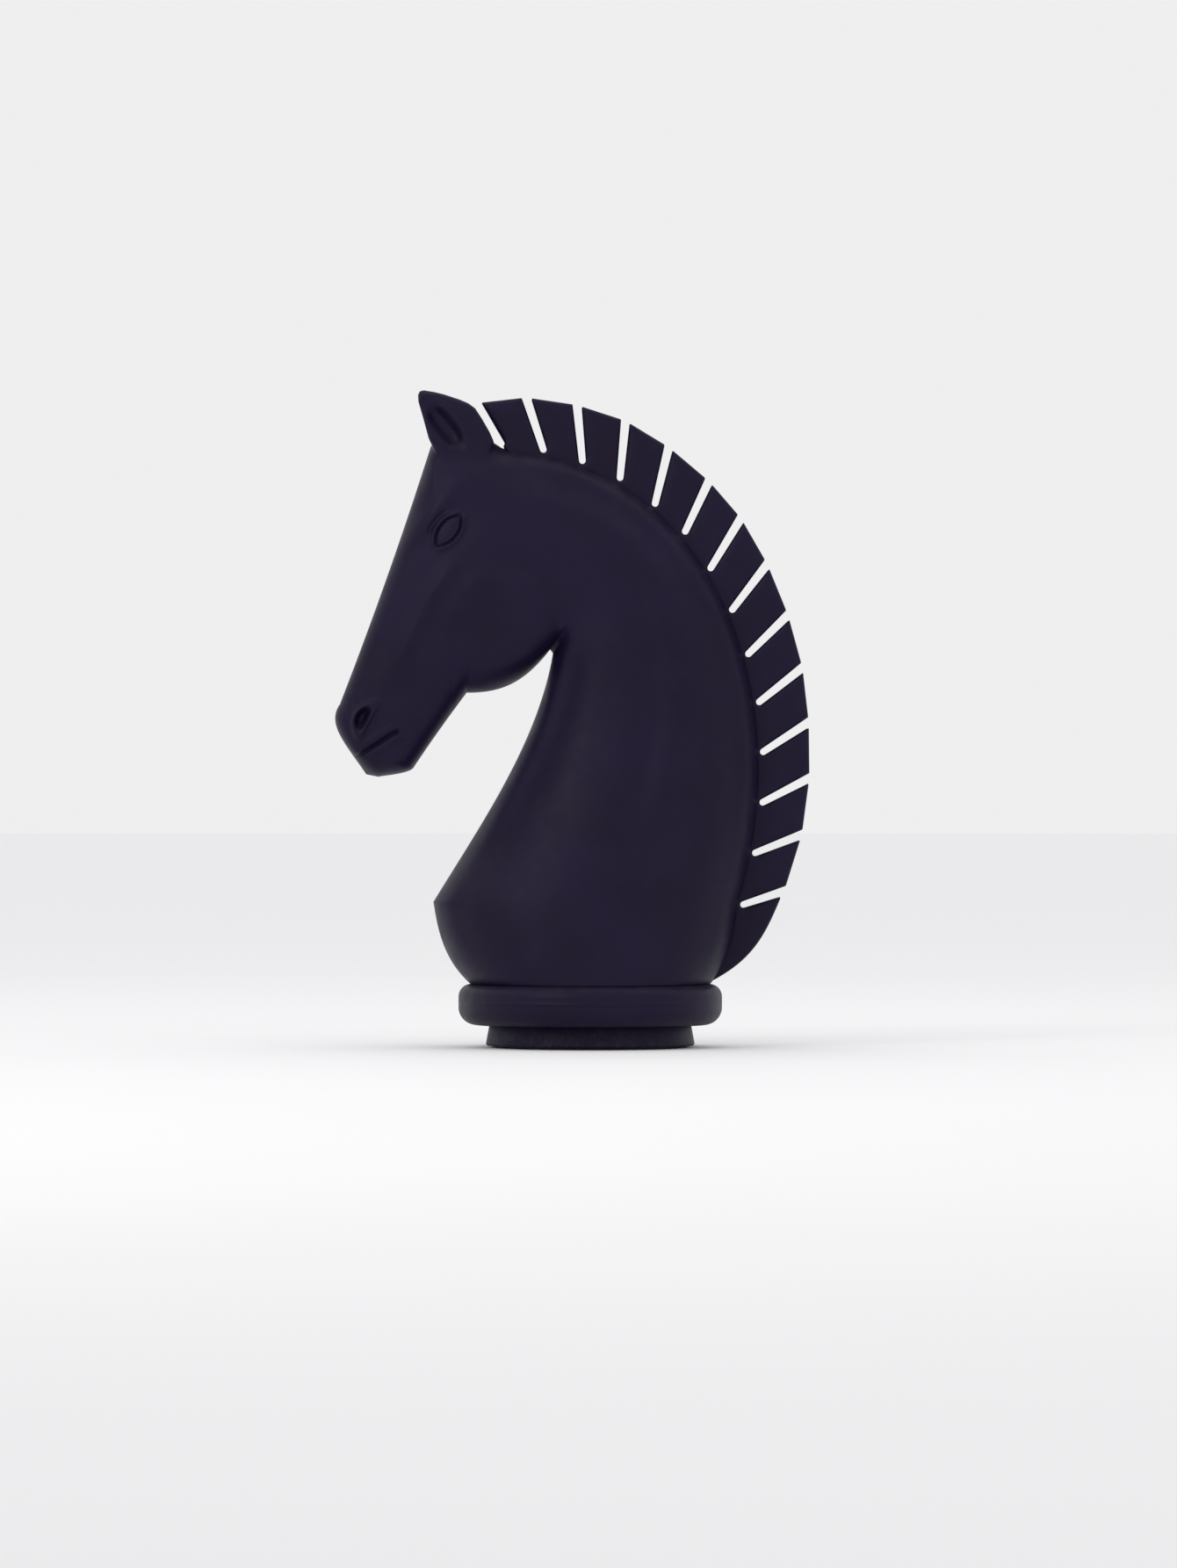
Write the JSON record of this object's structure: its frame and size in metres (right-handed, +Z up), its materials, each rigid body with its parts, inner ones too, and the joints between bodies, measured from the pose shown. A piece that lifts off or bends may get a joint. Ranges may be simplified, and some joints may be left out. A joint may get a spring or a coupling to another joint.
{
  "type": "garden chess knight",
  "caption": "Giant lawn-game chess knight: horse's head with a slotted mane, screwed by a collar on to a round weighted foot.",
  "frame": {"origin": "centre of the round foot's underside, on the ground", "axes": "+Z up; the horse faces -X; its left side, the one turned to the viewer, is -Y"},
  "size_m": [0.3777, 0.21, 0.5223],
  "materials": {
    "plum_hdpe": "satin moulded grain",
    "plum_mane": "satin moulded grain",
    "plum_cap": "satin",
    "plum_ring": "satin machined",
    "plum_collar": "satin turned",
    "plum_foot": "satin, scuffed near the ground",
    "stainless": "brushed",
    "zinc_screw": "zinc plated",
    "zinc_plate": "zinc plated, dull",
    "brass_insert": "machined",
    "acetal": "smooth",
    "seal_rubber": "matt",
    "pad_rubber": "matt, fine texture",
    "natural_hdpe": "blow moulded",
    "natural_lid": "moulded",
    "sand": "coarse grain",
    "orange_cap": "satin ribbed"
  },
  "bodies": {
    "foot": {"foot_plinth": "plum_foot", "neck_seal": "seal_rubber", "ballast_tank": "natural_hdpe", "tank_lid": "natural_lid", "sand_fill": "sand", "base_plate": "zinc_plate", "base_screws": "zinc_screw", "base_pad": "pad_rubber"},
    "bust": {"bust_shell_left": "plum_hdpe", "bust_shell_right": "plum_hdpe", "mane_crest": "plum_mane", "shell_screws": "stainless", "screw_inserts": "brass_insert", "screw_caps": "plum_cap", "neck_ring": "plum_ring", "neck_screws": "stainless", "slip_washer": "acetal"},
    "collar": {"collar_ring": "plum_collar"},
    "gasket": {"cap_gasket": "seal_rubber"},
    "cap": {"filler_cap": "orange_cap"}
  },
  "joints": [
    {"name": "bust_lift", "type": "slide", "parent": "foot", "child": "bust", "axis": [0, 0, 1], "range_m": [0, 0.08]},
    {"name": "collar_turn", "type": "hinge", "parent": "bust", "child": "collar", "pos_m": [0, 0, 0.034], "axis": [0, 0, 1], "range_deg": [0, 450]},
    {"name": "cap_rise", "type": "slide", "parent": "foot", "child": "gasket", "axis": [0, 0, 1], "range_m": [0, 0.01205]},
    {"name": "cap_turn", "type": "hinge", "parent": "gasket", "child": "cap", "pos_m": [0, 0, 0.1], "axis": [0, 0, 1], "range_deg": [0, 1080]}
  ],
  "couplings": [
    {"joint": "cap_rise", "follows": "cap_turn", "m_per_rad": 0.00063662}
  ]
}
